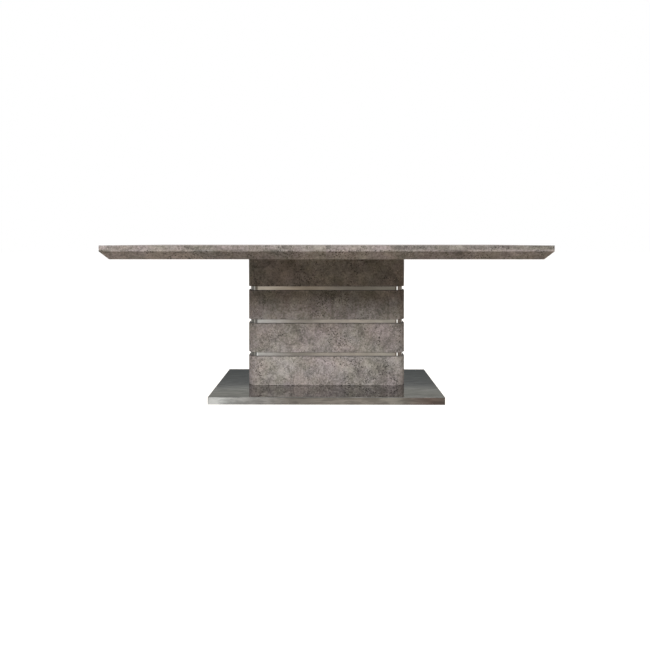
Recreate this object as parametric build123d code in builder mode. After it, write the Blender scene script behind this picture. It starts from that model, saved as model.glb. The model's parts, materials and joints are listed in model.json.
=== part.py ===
"""Extending dining table on a single slab pedestal.

Two laminated top halves slide apart on ball-bearing runners, kept in step by geared equalisers,
over a folded butterfly leaf.  Four laminated boxes with steel-banded spacers between them are
clamped by tie rods between a steel-clad plinth and the steel frame that carries the runners.

Millimetres, +Z up, origin on the floor under the middle of the table, X along its length.
"front" is -Y, "left" is -X.  Every left piece has side = -1 and every right piece side = +1.
"""

import os
from math import atan, cos, pi, radians, sin, sqrt, tan

from build123d import *

os.makedirs("parts", exist_ok=True)

# ---------------------------------------------------------------- driving dimensions
TABLE_LENGTH = 2000.0
TABLE_WIDTH = 1000.0
TABLE_HEIGHT = 760.0
LEAF_LENGTH = 500.0  # the extension: each half travels half of it

# Top: an 18 mm board on a built-up edge that shows a 26 mm band over an undercut bevel
PANEL_THICKNESS = 18.0
BAND_HEIGHT = 26.0
TOP_DEPTH = 62.0
BEVEL_INSET = 33.0
EDGE_STRIP_WIDTH = 60.0
SEAM = 0.4
SEAM_CHAMFER = 0.8
TOP_ARRIS = 1.0

# Plinth
BASE_LENGTH = 1130.0
BASE_WIDTH = 600.0
BASE_BOTTOM = 2.0
BASE_TOP = 38.0
BASE_CORNER = 3.0
BASE_ARRIS = 2.5
SHEET = 1.0
RETURN_FLANGE = 12.0

# Pedestal
PEDESTAL_LENGTH = 808.0
PEDESTAL_WIDTH = 160.0
PEDESTAL_RADIUS = 50.0
BOX_HEIGHT = 150.0
BOX_WALL = 16.0
BOX_ARRIS = 1.5
LID = 12.0
SPACER_HEIGHT = 20.0
SPACER_INSET = 10.0
BOX_NAMES = ("bottom_box", "lower_box", "upper_box", "top_box")
BAND_NAMES = ("bottom_band", "middle_band", "top_band")

# Tie rods
ROD_X = 280.0
ROD_Y = 40.0
ROD_RADIUS = 5.0
ROD_HOLE_RADIUS = 5.5
ROD_BOTTOM = 6.0
ROD_PROUD = 2.0
ROD_CHAMFER = 1.0
NUT_FLATS = 17.0
NUT_HEIGHT = 8.0
WASHER_RADIUS = 10.5
WASHER = 2.0
NUT_POCKET_RADIUS = 13.0

# Levelling feet
FOOT_INSET = 35.0
FOOT_RADIUS = 18.0
FOOT_PAD = 4.0
FOOT_STEM_RADIUS = 4.0
FOOT_STEM = 22.0
INSERT_RADIUS = 6.0
INSERT_LENGTH = 20.0
FOOT_RECESS_CLEARANCE = 2.0
FOOT_END_CLEARANCE = 2.0
FOOT_THREAD_PLAY = 0.05
FOOT_CHAMFER = 0.8
FOOT_SEAT_CLEARANCE = 0.3

# Steel frame
PLATE = 3.0
PLATE_LENGTH = 720.0
PLATE_WIDTH = 130.0
PLATE_RADIUS = 20.0
BEARER_X = 330.0
BEARER_WIDTH = 40.0
BEARER_HEIGHT = 25.0
BEARER_WALL = 2.0
BEARER_BOLT_Y = 45.0
BOLT_RADIUS = 4.0
BOLT_HEAD_FLATS = 13.0
BOLT_HEAD = 5.0
BOLT_PLAY = 0.05
FRAME_NUT = 6.5

# Runners
CHANNEL_HALF_LENGTH = 550.0
CHANNEL_Y = 373.0  # inner face of the channel's web
CHANNEL_HEIGHT = 36.0
CHANNEL_DEPTH = 13.5
CHANNEL_WALL = 1.5
CHANNEL_BOTTOM_GAP = 1.0  # above the plate's top
RUNNER_START = 15.0
RUNNER_END = 800.0
RUNNER_Y = 377.0
RUNNER_THICKNESS = 10.0
RUNNER_HEIGHT = 26.0
BALL_RADIUS = 2.5
BALL_PLAY = 0.05
CAGE_LENGTH = 240.0
CAGE_WIDTH = 7.0
CAGE_THICKNESS = 1.0
CAGE_BALLS = 6
ANGLE_START = 90.0
ANGLE_END = 790.0
ANGLE_WALL = 3.0
ANGLE_FLANGE = 28.0
ANGLE_DROP = 30.0
ANGLE_SCREWS = 4

# Geared equaliser
MODULE = 1.5
PINION_TEETH = 16
PRESSURE_ANGLE = radians(20)
ADDENDUM = 1.3
DEDENDUM = 1.6
TOOTH_THINNING = 0.1  # off each tooth's width, for backlash
INVOLUTE_START = 0.02  # above the base circle
TEETH_PAST_TRAVEL = 3
GEAR_OVERHANG = 0.5  # of the pinion's teeth past the rack's faces
HUB_CLEARANCE = 0.3
HUB_STEP = 2.0
AXLE_HEAD_CLEARANCE = 0.5
BRACKET_CLEARANCE = 4.0  # under the racks
PINION_Y = 320.0
RACK_BOTTOM_CLEARANCE = 3.0  # above the cross bearers
RACK_THICKNESS = 8.0
RACK_BACK = 6.0
RACK_TAIL = 330.0
RACK_BOSS_LENGTH = 30.0
RACK_BOSSES = (45.0, 305.0)  # distance of the bosses' centres from the seam
PINION_BORE = 3.05
AXLE_RADIUS = 3.0
AXLE_HEAD_RADIUS = 5.0
AXLE_HEAD = 1.5
BRACKET = 3.0
BRACKET_WIDTH = 40.0
BRACKET_INNER_Y = 304.0
BRACKET_LEG = 21.0

# Butterfly leaf, stored folded
LEAF_PLAY = 0.2
LEAF_GAP = 1.0
LEAF_FOLD_GAP = 1.0
LEAF_ARRIS = 0.4
LEAF_BAR_Y = 165.0
LEAF_BAR_WIDTH = 30.0
FELT = 1.0
FELT_HALF_LENGTH = 240.0
LEAF_HINGE_X = (-180.0, 0.0, 180.0)
BARREL_RADIUS = 6.0
BARREL_LENGTH = 22.0
HINGE_LINK = 2.0
HINGE_LINK_WIDTH = 6.0

# Dowels that line the halves and the leaf up
DOWEL_RADIUS = 4.0
DOWEL_LENGTH = 30.0
DOWEL_PROUD = 10.0
DOWEL_Y = (140.0, 400.0)
DOWEL_HOLE_PLAY = 0.2
DOWEL_SEAT_PLAY = 0.05
DOWEL_SOCKET_SPARE = 4.0
DOWEL_CHAMFER = 0.8

# Sliding bolts that lock the halves together
LOCK_Y = 417.0
LOCK_WIDTH = 24.0
LOCK_HEIGHT = 16.0
LOCK_AXIS_DROP = 9.0  # of the bolt's axis under the panels
HOUSING_START = 10.0
HOUSING_END = 78.0
KEEPER_START = 4.0
KEEPER_END = 28.0
LOCK_BOLT_RADIUS = 4.0
LOCK_BOLT_PLAY = 0.2
LOCK_BOLT_START = 12.0
LOCK_BOLT_LENGTH = 64.0
LOCK_TRAVEL = 26.0
KNOB_RADIUS = 3.0
KNOB_DROP = 15.0
KNOB_X = 60.5
KNOB_PLAY = 1.0
BLOCK_CHAMFER = 1.5

# Wood screws
SCREW_RADIUS = 1.95
SCREW_HOLE_RADIUS = 2.0
SCREW_HEAD_RADIUS = 4.0
SCREW_HEAD = 2.5
SCREW_GRIP = 12.0
SCREW_TIP_CLEARANCE = 1.0

# ---------------------------------------------------------------- levels and places worked out
TRAVEL = LEAF_LENGTH / 2
PANEL_BOTTOM = TABLE_HEIGHT - PANEL_THICKNESS
BAND_BOTTOM = TABLE_HEIGHT - BAND_HEIGHT
TOP_BOTTOM = TABLE_HEIGHT - TOP_DEPTH
BOX_PITCH = BOX_HEIGHT + SPACER_HEIGHT
PEDESTAL_TOP = BASE_TOP + len(BOX_NAMES) * BOX_HEIGHT + len(BAND_NAMES) * SPACER_HEIGHT
PLATE_TOP = PEDESTAL_TOP + PLATE
BEARER_TOP = PLATE_TOP + BEARER_HEIGHT
CORE_BOTTOM = BASE_BOTTOM + SHEET
CORE_TOP = BASE_TOP - SHEET
FOOT_RECESS_TOP = FOOT_PAD + FOOT_SEAT_CLEARANCE
FOOT_POSITIONS = {
    "foot_front_left": (-(BASE_LENGTH / 2 - FOOT_INSET), -(BASE_WIDTH / 2 - FOOT_INSET)),
    "foot_front_right": (BASE_LENGTH / 2 - FOOT_INSET, -(BASE_WIDTH / 2 - FOOT_INSET)),
    "foot_rear_left": (-(BASE_LENGTH / 2 - FOOT_INSET), BASE_WIDTH / 2 - FOOT_INSET),
    "foot_rear_right": (BASE_LENGTH / 2 - FOOT_INSET, BASE_WIDTH / 2 - FOOT_INSET),
}
ROD_POSITIONS = [(x, y) for x in (-ROD_X, ROD_X) for y in (-ROD_Y, ROD_Y)]
CHANNEL_BOTTOM = PLATE_TOP + CHANNEL_BOTTOM_GAP
CHANNEL_MIDDLE = CHANNEL_BOTTOM + CHANNEL_HEIGHT / 2
RUNNER_CENTRE_Y = RUNNER_Y + RUNNER_THICKNESS / 2
BALL_OFFSET = CHANNEL_HEIGHT / 2 - CHANNEL_WALL - BALL_RADIUS - BALL_PLAY
ANGLE_Y = RUNNER_Y + RUNNER_THICKNESS
RACK_BOTTOM = BEARER_TOP + RACK_BOTTOM_CLEARANCE
RACK_TOP = RACK_BOTTOM + RACK_THICKNESS
PINION_RADIUS = MODULE * PINION_TEETH / 2
PITCH = pi * MODULE
RACK_SEAT = PANEL_BOTTOM - RACK_TOP
PINION_BOTTOM = RACK_BOTTOM - GEAR_OVERHANG
PINION_TOP = RACK_TOP + GEAR_OVERHANG
BRACKET_TOP = RACK_BOTTOM - BRACKET_CLEARANCE
AXLE_HEAD_BOTTOM = PINION_TOP + AXLE_HEAD_CLEARANCE
LEAF_BOTTOM = PLATE_TOP + FELT
LEAF_LEVELS = (LEAF_BOTTOM, LEAF_BOTTOM + PANEL_THICKNESS + LEAF_GAP)
LEAF_HALF_WIDTH = (TABLE_WIDTH - LEAF_FOLD_GAP) / 2
FOLD_Y = LEAF_HALF_WIDTH / 2
LOCK_Z = PANEL_BOTTOM - LOCK_AXIS_DROP
ENDS = (-1, 1)
STANDING = (Align.CENTER, Align.CENTER, Align.MIN)
HANGING = (Align.CENTER, Align.CENTER, Align.MAX)
BEARER_BOLTS = [(side * BEARER_X, end * BEARER_BOLT_Y) for side in ENDS for end in ENDS]
FRAME_BOLT_BOTTOM = PEDESTAL_TOP - LID - FRAME_NUT - ROD_PROUD


def write(piece, name):
    """Labels a finished piece and writes its STEP file."""
    piece.part.label = name
    export_step(piece.part, f"parts/{name}.step")


def looking_down(x, y, z):
    """A plane at a point whose holes are drilled upwards."""
    return Plane(origin=(x, y, z), x_dir=(1, 0, 0), z_dir=(0, 0, -1))


def along_x(x, y, z, side):
    """A plane at a point whose holes are drilled towards side along X."""
    return Plane(origin=(x, y, z), x_dir=(0, 1, 0), z_dir=(-side, 0, 0))


# ---------------------------------------------------------------- plinth
def core_block():
    """The plinth's board before drilling, eased along the top to follow the bend of the sheet over it."""
    with BuildPart() as block:
        with BuildSketch(Plane.XY.offset(CORE_BOTTOM)):
            RectangleRounded(BASE_LENGTH - 2 * SHEET, BASE_WIDTH - 2 * SHEET, BASE_CORNER - SHEET)
        extrude(amount=CORE_TOP - CORE_BOTTOM)
        fillet(block.faces().sort_by(Axis.Z)[-1].edges(), BASE_ARRIS - SHEET)
    return block.part


def base_core():
    with BuildPart() as core:
        add(core_block())
        for x, y in ROD_POSITIONS:
            with Locations(looking_down(x, y, CORE_BOTTOM)):
                CounterBoreHole(
                    ROD_HOLE_RADIUS, NUT_POCKET_RADIUS, ROD_BOTTOM + NUT_HEIGHT + WASHER - CORE_BOTTOM
                )
        for x, y in FOOT_POSITIONS.values():
            with Locations(looking_down(x, y, CORE_BOTTOM)):
                CounterBoreHole(
                    INSERT_RADIUS,
                    FOOT_RADIUS + FOOT_RECESS_CLEARANCE,
                    FOOT_RECESS_TOP - CORE_BOTTOM,
                    depth=FOOT_PAD + FOOT_STEM + FOOT_END_CLEARANCE - CORE_BOTTOM,
                )
    return core


def base_cladding():
    """One sheet folded over the top and sides and returned under the edges."""
    with BuildPart() as cladding:
        with BuildSketch(Plane.XY.offset(BASE_BOTTOM)):
            RectangleRounded(BASE_LENGTH, BASE_WIDTH, BASE_CORNER)
        extrude(amount=BASE_TOP - BASE_BOTTOM)
        fillet(cladding.faces().sort_by(Axis.Z)[-1].edges(), BASE_ARRIS)
        add(core_block(), mode=Mode.SUBTRACT)
        with BuildSketch(Plane.XY.offset(BASE_BOTTOM)):
            Rectangle(BASE_LENGTH - 2 * RETURN_FLANGE, BASE_WIDTH - 2 * RETURN_FLANGE)
        extrude(amount=SHEET, mode=Mode.SUBTRACT)
        with BuildSketch(Plane.XY.offset(CORE_TOP)):
            with Locations(*ROD_POSITIONS):
                Circle(ROD_HOLE_RADIUS)
        extrude(amount=SHEET, mode=Mode.SUBTRACT)
    return cladding


def foot_inserts():
    with BuildPart() as inserts:
        with BuildSketch(Plane.XY.offset(FOOT_RECESS_TOP)):
            with Locations(*FOOT_POSITIONS.values()):
                Circle(INSERT_RADIUS)
                Circle(FOOT_STEM_RADIUS + FOOT_THREAD_PLAY, mode=Mode.SUBTRACT)
        extrude(amount=INSERT_LENGTH)
    return inserts


def levelling_foot(x, y):
    with BuildPart() as foot:
        with BuildSketch(Plane.XY):
            with Locations((x, y)):
                Circle(FOOT_RADIUS)
        extrude(amount=FOOT_PAD)
        chamfer(foot.edges().filter_by(GeomType.CIRCLE), FOOT_CHAMFER)
        with BuildSketch(Plane.XY.offset(FOOT_PAD)):
            with Locations((x, y)):
                Circle(FOOT_STEM_RADIUS)
        extrude(amount=FOOT_STEM)
        chamfer(foot.edges().filter_by(GeomType.CIRCLE).sort_by(Axis.Z)[-1], FOOT_CHAMFER)
    return foot


# ---------------------------------------------------------------- pedestal
def pedestal_box(bottom):
    with BuildPart() as box:
        with BuildSketch(Plane.XY.offset(bottom)):
            RectangleRounded(PEDESTAL_LENGTH, PEDESTAL_WIDTH, PEDESTAL_RADIUS)
        extrude(amount=BOX_HEIGHT)
        rims = box.faces().filter_by(Plane.XY).edges()
        fillet(rims, BOX_ARRIS)
        with BuildSketch(Plane.XY.offset(bottom)):
            RectangleRounded(
                PEDESTAL_LENGTH - 2 * BOX_WALL,
                PEDESTAL_WIDTH - 2 * BOX_WALL,
                PEDESTAL_RADIUS - BOX_WALL,
            )
        extrude(amount=BOX_HEIGHT, mode=Mode.SUBTRACT)
    return box


def box_lids():
    """Closing boards, flush in the bottom and top of each box."""
    with BuildPart() as lids:
        for index in range(len(BOX_NAMES)):
            bottom = BASE_TOP + index * BOX_PITCH
            for level in (bottom, bottom + BOX_HEIGHT - LID):
                with BuildSketch(Plane.XY.offset(level)):
                    RectangleRounded(
                        PEDESTAL_LENGTH - 2 * BOX_WALL,
                        PEDESTAL_WIDTH - 2 * BOX_WALL,
                        PEDESTAL_RADIUS - BOX_WALL,
                    )
                    with Locations(*ROD_POSITIONS):
                        Circle(ROD_HOLE_RADIUS, mode=Mode.SUBTRACT)
                extrude(amount=LID)
        with BuildSketch(Plane.XY.offset(PEDESTAL_TOP - LID)):
            with Locations(*BEARER_BOLTS):
                Circle(BOLT_RADIUS)
        extrude(amount=LID, mode=Mode.SUBTRACT)
    return lids


def spacer_cores():
    with BuildPart() as cores:
        inset = SPACER_INSET + SHEET
        for index in range(len(BAND_NAMES)):
            with BuildSketch(Plane.XY.offset(BASE_TOP + BOX_HEIGHT + index * BOX_PITCH)):
                RectangleRounded(
                    PEDESTAL_LENGTH - 2 * inset, PEDESTAL_WIDTH - 2 * inset, PEDESTAL_RADIUS - inset
                )
                with Locations(*ROD_POSITIONS):
                    Circle(ROD_HOLE_RADIUS, mode=Mode.SUBTRACT)
            extrude(amount=SPACER_HEIGHT)
    return cores


def spacer_band(bottom):
    """Bright steel strip wrapped round a spacer core."""
    with BuildPart() as band:
        with BuildSketch(Plane.XY.offset(bottom)):
            RectangleRounded(
                PEDESTAL_LENGTH - 2 * SPACER_INSET,
                PEDESTAL_WIDTH - 2 * SPACER_INSET,
                PEDESTAL_RADIUS - SPACER_INSET,
            )
            inset = SPACER_INSET + SHEET
            RectangleRounded(
                PEDESTAL_LENGTH - 2 * inset,
                PEDESTAL_WIDTH - 2 * inset,
                PEDESTAL_RADIUS - inset,
                mode=Mode.SUBTRACT,
            )
        extrude(amount=SPACER_HEIGHT)
    return band


def tie_rods():
    with BuildPart() as rods:
        with BuildSketch(Plane.XY.offset(ROD_BOTTOM)):
            with Locations(*ROD_POSITIONS):
                Circle(ROD_RADIUS)
        extrude(amount=PLATE_TOP + WASHER + NUT_HEIGHT + ROD_PROUD - ROD_BOTTOM)
        chamfer(rods.edges().filter_by(GeomType.CIRCLE), ROD_CHAMFER)
    return rods


def tie_rod_nuts():
    with BuildPart() as nuts:
        for bottom in (ROD_BOTTOM, PLATE_TOP + WASHER):
            with BuildSketch(Plane.XY.offset(bottom)):
                with Locations(*ROD_POSITIONS):
                    RegularPolygon(NUT_FLATS / 2, 6, major_radius=False)
                    Circle(ROD_RADIUS, mode=Mode.SUBTRACT)
            extrude(amount=NUT_HEIGHT)
    return nuts


def tie_rod_washers():
    with BuildPart() as washers:
        for bottom in (ROD_BOTTOM + NUT_HEIGHT, PLATE_TOP):
            with BuildSketch(Plane.XY.offset(bottom)):
                with Locations(*ROD_POSITIONS):
                    Circle(WASHER_RADIUS)
                    Circle(ROD_HOLE_RADIUS, mode=Mode.SUBTRACT)
            extrude(amount=WASHER)
    return washers


# ---------------------------------------------------------------- steel frame
def mounting_plate():
    with BuildPart() as plate:
        with BuildSketch(Plane.XY.offset(PEDESTAL_TOP)):
            RectangleRounded(PLATE_LENGTH, PLATE_WIDTH, PLATE_RADIUS)
            with Locations(*ROD_POSITIONS):
                Circle(ROD_HOLE_RADIUS, mode=Mode.SUBTRACT)
            with Locations(*BEARER_BOLTS):
                Circle(BOLT_RADIUS, mode=Mode.SUBTRACT)
        extrude(amount=PLATE)
    return plate


def cross_bearer(side):
    """Square-section tube across the pedestal, carrying both runner channels."""
    with BuildPart() as bearer:
        with BuildSketch(Plane.XZ.offset(-CHANNEL_Y)):
            with Locations((side * BEARER_X, PLATE_TOP + BEARER_HEIGHT / 2)):
                RectangleRounded(BEARER_WIDTH, BEARER_HEIGHT, BEARER_WALL)
                Rectangle(
                    BEARER_WIDTH - 2 * BEARER_WALL,
                    BEARER_HEIGHT - 2 * BEARER_WALL,
                    mode=Mode.SUBTRACT,
                )
        extrude(amount=2 * CHANNEL_Y)
        with BuildSketch(Plane.XY.offset(PLATE_TOP)):
            with Locations((side * BEARER_X, -BEARER_BOLT_Y), (side * BEARER_X, BEARER_BOLT_Y)):
                Circle(BOLT_RADIUS)
        extrude(amount=BEARER_HEIGHT, mode=Mode.SUBTRACT)
    return bearer


def frame_bolts():
    """Bolts down through the bearers, the plate and the top lid board."""
    with BuildPart() as bolts:
        with BuildSketch(Plane.XY.offset(FRAME_BOLT_BOTTOM)):
            with Locations(*BEARER_BOLTS):
                Circle(BOLT_RADIUS - BOLT_PLAY)
        extrude(amount=BEARER_TOP - FRAME_BOLT_BOTTOM)
        with BuildSketch(Plane.XY.offset(BEARER_TOP)):
            with Locations(*BEARER_BOLTS):
                RegularPolygon(BOLT_HEAD_FLATS / 2, 6, major_radius=False)
        extrude(amount=BOLT_HEAD)
    return bolts


def frame_nuts():
    """Nuts under the top lid board."""
    with BuildPart() as nuts:
        with BuildSketch(Plane.XY.offset(PEDESTAL_TOP - LID - FRAME_NUT)):
            with Locations(*BEARER_BOLTS):
                RegularPolygon(BOLT_HEAD_FLATS / 2, 6, major_radius=False)
                Circle(BOLT_RADIUS, mode=Mode.SUBTRACT)
        extrude(amount=FRAME_NUT)
    return nuts


def slide_channel(end):
    """Outer member of the runners: a long C section open away from the middle."""
    with BuildPart() as channel:
        with BuildSketch(Plane.YZ.offset(-CHANNEL_HALF_LENGTH)):
            with Locations((end * (CHANNEL_Y + CHANNEL_DEPTH / 2), CHANNEL_MIDDLE)):
                Rectangle(CHANNEL_DEPTH, CHANNEL_HEIGHT)
            with Locations((end * (CHANNEL_Y + CHANNEL_WALL + CHANNEL_DEPTH / 2), CHANNEL_MIDDLE)):
                Rectangle(CHANNEL_DEPTH, CHANNEL_HEIGHT - 2 * CHANNEL_WALL, mode=Mode.SUBTRACT)
        extrude(amount=2 * CHANNEL_HALF_LENGTH)
    return channel


def leaf_bars():
    """Flat bars under the bearers that the folded leaf lies on."""
    with BuildPart() as bars:
        with BuildSketch(Plane.XY.offset(PEDESTAL_TOP)):
            with Locations((0, -LEAF_BAR_Y), (0, LEAF_BAR_Y)):
                Rectangle(2 * BEARER_X + BEARER_WIDTH, LEAF_BAR_WIDTH)
        extrude(amount=PLATE)
    return bars


def leaf_felts():
    with BuildPart() as felts:
        with BuildSketch(Plane.XY.offset(PLATE_TOP)):
            with Locations((0, -LEAF_BAR_Y), (0, LEAF_BAR_Y)):
                Rectangle(2 * FELT_HALF_LENGTH, LEAF_BAR_WIDTH)
        extrude(amount=FELT)
    return felts


# ---------------------------------------------------------------- folded leaf
LEAF_DOWEL_Y = [FOLD_Y - y for y in DOWEL_Y]
LEAF_EDGE_X = LEAF_LENGTH / 2 - LEAF_PLAY


def leaf_half(bottom):
    """One half of the butterfly leaf, folded: its fold edge is the rear one."""
    middle = bottom + PANEL_THICKNESS / 2
    with BuildPart() as half:
        with BuildSketch(Plane.XY.offset(bottom)):
            Rectangle(2 * LEAF_EDGE_X, LEAF_HALF_WIDTH)
        extrude(amount=PANEL_THICKNESS)
        chamfer(half.edges(), LEAF_ARRIS)
        for y in LEAF_DOWEL_Y:
            with Locations(along_x(LEAF_EDGE_X, y, middle, -1)):
                Hole(DOWEL_RADIUS + DOWEL_HOLE_PLAY, depth=DOWEL_PROUD + DOWEL_SOCKET_SPARE)
            with Locations(along_x(-LEAF_EDGE_X, y, middle, 1)):
                Hole(DOWEL_RADIUS + DOWEL_SEAT_PLAY, depth=DOWEL_LENGTH - DOWEL_PROUD)
        with BuildSketch(Plane.XZ.offset(-FOLD_Y)):
            with Locations(*[(x, middle) for x in LEAF_HINGE_X]):
                Circle(BARREL_RADIUS)
        extrude(amount=BARREL_LENGTH, mode=Mode.SUBTRACT)
    return half


def leaf_hinges():
    """Barrel hinges let into the fold edges of both halves, with their link plates."""
    with BuildPart() as hinges:
        with BuildSketch(Plane.XZ.offset(-FOLD_Y)):
            for level in LEAF_LEVELS:
                with Locations(*[(x, level + PANEL_THICKNESS / 2) for x in LEAF_HINGE_X]):
                    Circle(BARREL_RADIUS)
        extrude(amount=BARREL_LENGTH)
        with BuildSketch(Plane.XZ.offset(-FOLD_Y)):
            link_middle = (LEAF_LEVELS[0] + LEAF_LEVELS[1] + PANEL_THICKNESS) / 2
            link_length = LEAF_LEVELS[1] - LEAF_LEVELS[0] + BARREL_RADIUS
            with Locations(*[(x, link_middle) for x in LEAF_HINGE_X]):
                SlotOverall(link_length, HINGE_LINK_WIDTH, rotation=90)
        extrude(amount=-HINGE_LINK)
    return hinges


def leaf_dowels():
    with BuildPart() as dowels:
        with BuildSketch(Plane.YZ.offset(-LEAF_EDGE_X - DOWEL_PROUD)):
            for level in LEAF_LEVELS:
                with Locations(*[(y, level + PANEL_THICKNESS / 2) for y in LEAF_DOWEL_Y]):
                    Circle(DOWEL_RADIUS)
        extrude(amount=DOWEL_LENGTH)
        chamfer(dowels.edges().filter_by(GeomType.CIRCLE), DOWEL_CHAMFER)
    return dowels


# ---------------------------------------------------------------- table top halves
SEAM_DOWELS = [end * y for end in ENDS for y in DOWEL_Y]
ANGLE_SCREW_STEP = (ANGLE_END - ANGLE_START) / ANGLE_SCREWS
ANGLE_SCREW_X = [ANGLE_START + (n + 0.5) * ANGLE_SCREW_STEP for n in range(ANGLE_SCREWS)]
ANGLE_SCREW_Y = ANGLE_Y + ANGLE_WALL + (ANGLE_FLANGE - ANGLE_WALL) / 2


def rack_y(side, end):
    """Pitch line of a half's rack: the left racks run outside the pinions, the right ones inside."""
    return end * (PINION_Y - side * PINION_RADIUS)


def rack_screw_positions(side):
    """Screws through the bosses on each rack's plain back."""
    outward = -side
    back = DEDENDUM + RACK_BACK / 2
    return [(side * x, end * (PINION_Y + outward * (PINION_RADIUS + back)))
            for end in ENDS for x in RACK_BOSSES]


def panel_screw_positions(side):
    angles = [(side * x, end * ANGLE_SCREW_Y) for end in ENDS for x in ANGLE_SCREW_X]
    return angles + rack_screw_positions(side)


def top_panel(side):
    length = TABLE_LENGTH / 2 - SEAM / 2
    middle = side * (TABLE_LENGTH / 2 - length / 2)
    seat = DOWEL_RADIUS + DOWEL_SEAT_PLAY
    socket = DOWEL_RADIUS + DOWEL_HOLE_PLAY
    with BuildPart() as panel:
        with BuildSketch(Plane.XY.offset(PANEL_BOTTOM)):
            with Locations((middle, 0)):
                Rectangle(length, TABLE_WIDTH)
        extrude(amount=PANEL_THICKNESS)
        rim = panel.faces().sort_by(Axis.Z)[-1].edges()
        seam_edge = rim.sort_by(Axis.X)[0 if side > 0 else -1]
        outer_edges = [edge for edge in rim if edge != seam_edge]
        fillet(outer_edges, TOP_ARRIS)
        seam_edge = panel.faces().sort_by(Axis.Z)[-1].edges().sort_by(Axis.X)[0 if side > 0 else -1]
        chamfer(seam_edge, SEAM_CHAMFER)
        for y in SEAM_DOWELS:
            with Locations(along_x(side * SEAM / 2, y, PANEL_BOTTOM + PANEL_THICKNESS / 2, side)):
                if side > 0:
                    Hole(seat, depth=DOWEL_LENGTH - DOWEL_PROUD)
                else:
                    Hole(socket, depth=DOWEL_PROUD + DOWEL_SOCKET_SPARE)
        for x, y in panel_screw_positions(side):
            with Locations(looking_down(x, y, PANEL_BOTTOM)):
                Hole(SCREW_HOLE_RADIUS, depth=SCREW_GRIP)
    return panel


def edge_section(outward):
    """Section of the built-up edge: a short band, the undercut bevel, a flat foot and a plain back."""
    outer = TABLE_WIDTH / 2
    points = [
        (outer, PANEL_BOTTOM),
        (outer, BAND_BOTTOM),
        (outer - BEVEL_INSET, TOP_BOTTOM),
        (outer - EDGE_STRIP_WIDTH, TOP_BOTTOM),
        (outer - EDGE_STRIP_WIDTH, PANEL_BOTTOM),
    ]
    return [(outward * distance, level) for distance, level in points]


def long_edge(side, end):
    """Edge strip along the front or rear of a half, mitred at the table's corner."""
    corner = (side * TABLE_LENGTH / 2, end * TABLE_WIDTH / 2, 0)
    with BuildPart() as strip:
        with BuildSketch(Plane.YZ.offset(side * SEAM / 2)):
            Polygon(*edge_section(end), align=None)
        extrude(amount=side * (TABLE_LENGTH / 2 - SEAM / 2))
        split(bisect_by=Plane(origin=corner, z_dir=(-side, end, 0)), keep=Keep.TOP)
    return strip


def end_edge(side):
    """Edge strip across the end of a half, mitred into both long strips."""
    shift = TABLE_LENGTH / 2 - TABLE_WIDTH / 2
    section = [(x + side * shift, z) for x, z in edge_section(side)]
    with BuildPart() as strip:
        with BuildSketch(Plane.XZ.offset(-TABLE_WIDTH / 2)):
            Polygon(*section, align=None)
        extrude(amount=TABLE_WIDTH)
        for end in ENDS:
            corner = (side * TABLE_LENGTH / 2, end * TABLE_WIDTH / 2, 0)
            split(bisect_by=Plane(origin=corner, z_dir=(side, -end, 0)), keep=Keep.TOP)
    return strip


def runners(side):
    """Inner members, with a ball groove along their top and bottom."""
    with BuildPart() as pair:
        with BuildSketch(Plane.YZ.offset(side * RUNNER_START)):
            for end in ENDS:
                y = end * RUNNER_CENTRE_Y
                with Locations((y, CHANNEL_MIDDLE)):
                    Rectangle(RUNNER_THICKNESS, RUNNER_HEIGHT)
                with Locations((y, CHANNEL_MIDDLE - BALL_OFFSET), (y, CHANNEL_MIDDLE + BALL_OFFSET)):
                    Circle(BALL_RADIUS + BALL_PLAY, mode=Mode.SUBTRACT)
        extrude(amount=side * (RUNNER_END - RUNNER_START))
    return pair


def ball_cages(side):
    """Retainer strips with their balls, above and below each runner."""
    middle = side * (CHANNEL_HALF_LENGTH + RUNNER_START) / 2
    step = CAGE_LENGTH / CAGE_BALLS
    places = [middle + (n + 0.5) * step - CAGE_LENGTH / 2 for n in range(CAGE_BALLS)]
    with BuildPart() as cages:
        for level in (CHANNEL_MIDDLE - BALL_OFFSET, CHANNEL_MIDDLE + BALL_OFFSET):
            for end in ENDS:
                y = end * RUNNER_CENTRE_Y
                with BuildSketch(Plane.XY.offset(level - CAGE_THICKNESS / 2)):
                    with Locations((middle, y)):
                        Rectangle(CAGE_LENGTH, CAGE_WIDTH)
                    with Locations(*[(x, y) for x in places]):
                        Circle(BALL_RADIUS + BALL_PLAY, mode=Mode.SUBTRACT)
                extrude(amount=CAGE_THICKNESS)
                with Locations(*[(x, y, level) for x in places]):
                    Sphere(BALL_RADIUS)
    return cages


def runner_angles(side):
    """Angles that hang the runners under the panel."""
    with BuildPart() as angles:
        for end in ENDS:
            with BuildSketch(Plane.YZ.offset(side * ANGLE_START)):
                with Locations((end * (ANGLE_Y + ANGLE_WALL / 2), PANEL_BOTTOM - ANGLE_DROP / 2)):
                    Rectangle(ANGLE_WALL, ANGLE_DROP)
                with Locations((end * (ANGLE_Y + ANGLE_FLANGE / 2), PANEL_BOTTOM - ANGLE_WALL / 2)):
                    Rectangle(ANGLE_FLANGE, ANGLE_WALL)
            extrude(amount=side * (ANGLE_END - ANGLE_START))
        with BuildSketch(Plane.XY.offset(PANEL_BOTTOM - ANGLE_WALL)):
            with Locations(*[(side * x, end * ANGLE_SCREW_Y) for end in ENDS for x in ANGLE_SCREW_X]):
                Circle(SCREW_HOLE_RADIUS)
        extrude(amount=ANGLE_WALL, mode=Mode.SUBTRACT)
    return angles


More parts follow.
